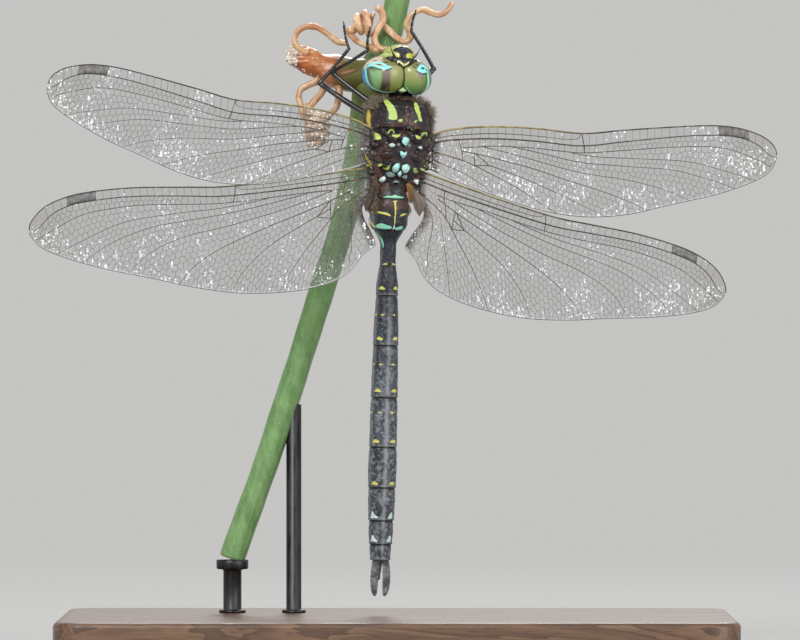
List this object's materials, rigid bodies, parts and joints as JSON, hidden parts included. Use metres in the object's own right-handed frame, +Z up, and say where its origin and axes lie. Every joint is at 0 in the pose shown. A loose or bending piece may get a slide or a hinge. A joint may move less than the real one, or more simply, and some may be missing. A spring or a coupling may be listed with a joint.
{
  "type": "dragonfly on a cut stem",
  "caption": "Hawker dragonfly hanging by its legs from a cut length of climbing stem with curled tendrils, on a small display stand.",
  "frame": {"origin": "centre of the underside of the stand's base", "axes": "+X across the wings towards the insect's right, +Z up towards its head, -Y out of its back towards the viewer"},
  "size_m": [0.0976, 0.052, 0.0884],
  "materials": {
    "shell": "satin brown-black insect cuticle with yellow-green and turquoise marks and a blue-grey dusty bloom",
    "eyes": "glossy olive-green compound eye with a bright cyan rim",
    "face": "smooth yellow-green with a black T-shaped cap",
    "wings": "clear thin membrane with dark veins and pale flecks",
    "legs": "shiny black, spined",
    "stem": "fresh green waxy stem with pale speckles",
    "branch": "orange-brown broken side branch, olive where it leaves the stem",
    "tendrils": "smooth dry tan-orange tendril",
    "stand_wood": "satin dark walnut",
    "stand_steel": "blackened rod"
  },
  "bodies": {
    "root": {"head": "shell", "eye_left": "eyes", "eye_right": "eyes", "face": "face", "antenna_left": "legs", "antenna_right": "legs", "prothorax": "shell", "thorax": "shell", "abdomen_1": "shell", "abdomen_2": "shell", "abdomen_3": "shell", "abdomen_4": "shell", "abdomen_5": "shell", "abdomen_6": "shell", "abdomen_7": "shell", "abdomen_8": "shell", "abdomen_9": "shell", "abdomen_10": "shell", "cercus_left": "shell", "cercus_right": "shell", "epiproct": "shell", "wing_fore_left": "wings", "wing_hind_left": "wings", "wing_fore_right": "wings", "wing_hind_right": "wings", "leg_front_left_femur": "legs", "leg_front_left_tibia": "legs", "leg_front_left_tarsus": "legs", "leg_middle_left_femur": "legs", "leg_middle_left_tibia": "legs", "leg_middle_left_tarsus": "legs", "leg_hind_left_femur": "legs", "leg_hind_left_tibia": "legs", "leg_hind_left_tarsus": "legs", "leg_front_right_femur": "legs", "leg_front_right_tibia": "legs", "leg_front_right_tarsus": "legs", "leg_middle_right_femur": "legs", "leg_middle_right_tibia": "legs", "leg_middle_right_tarsus": "legs", "leg_hind_right_femur": "legs", "leg_hind_right_tibia": "legs", "leg_hind_right_tarsus": "legs", "stem": "stem", "side_branch": "branch", "thorn": "branch", "tendril_1": "tendrils", "tendril_2": "tendrils", "tendril_3": "tendrils", "tendril_4": "tendrils", "tendril_5": "tendrils", "tendril_6": "tendrils", "stand_base": "stand_wood", "stand_rod_1": "stand_steel", "stand_rod_2": "stand_steel"}
  },
  "joints": []
}
